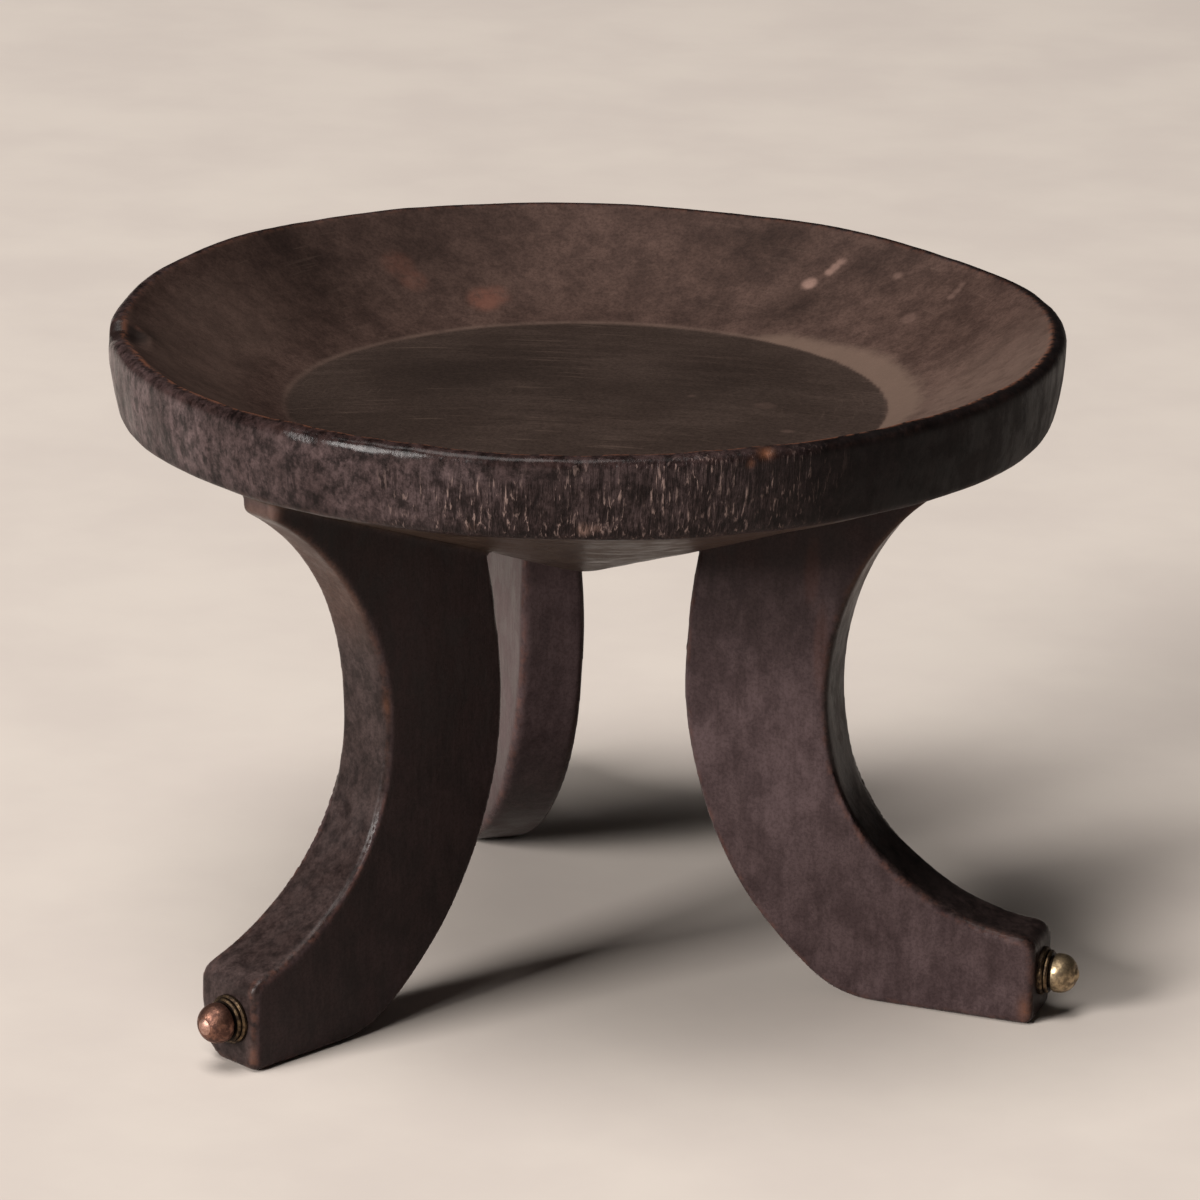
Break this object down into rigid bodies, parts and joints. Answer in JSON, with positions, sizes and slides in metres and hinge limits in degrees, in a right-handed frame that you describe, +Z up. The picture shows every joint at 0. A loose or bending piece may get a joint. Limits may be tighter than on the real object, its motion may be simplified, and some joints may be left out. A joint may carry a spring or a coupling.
{
  "type": "carved wooden stool",
  "caption": "Low round stool carved from one block of dark wood, with a dished seat, bowed splayed legs and a metal stud at the tip of each foot.",
  "frame": {"origin": "on the floor, on the axis of the round seat", "axes": "+Z up through the seat; +Y points from the front of the stool, as pictured, to its back"},
  "size_m": [0.3409, 0.3405, 0.23],
  "materials": {
    "dark_wood": "waxed, worn patina",
    "aged_brass": "aged, dull",
    "aged_copper": "aged, rubbed bright"
  },
  "bodies": {
    "root": {"stool_body": "dark_wood", "left_foot_collar": "aged_brass", "left_foot_washer": "aged_brass", "left_foot_dome": "aged_copper", "left_foot_pin": "aged_copper", "right_foot_collar": "aged_brass", "right_foot_washer": "aged_brass", "right_foot_dome": "aged_brass", "right_foot_pin": "aged_brass", "back_foot_collar": "aged_brass", "back_foot_washer": "aged_brass", "back_foot_dome": "aged_brass", "back_foot_pin": "aged_brass"}
  },
  "joints": []
}
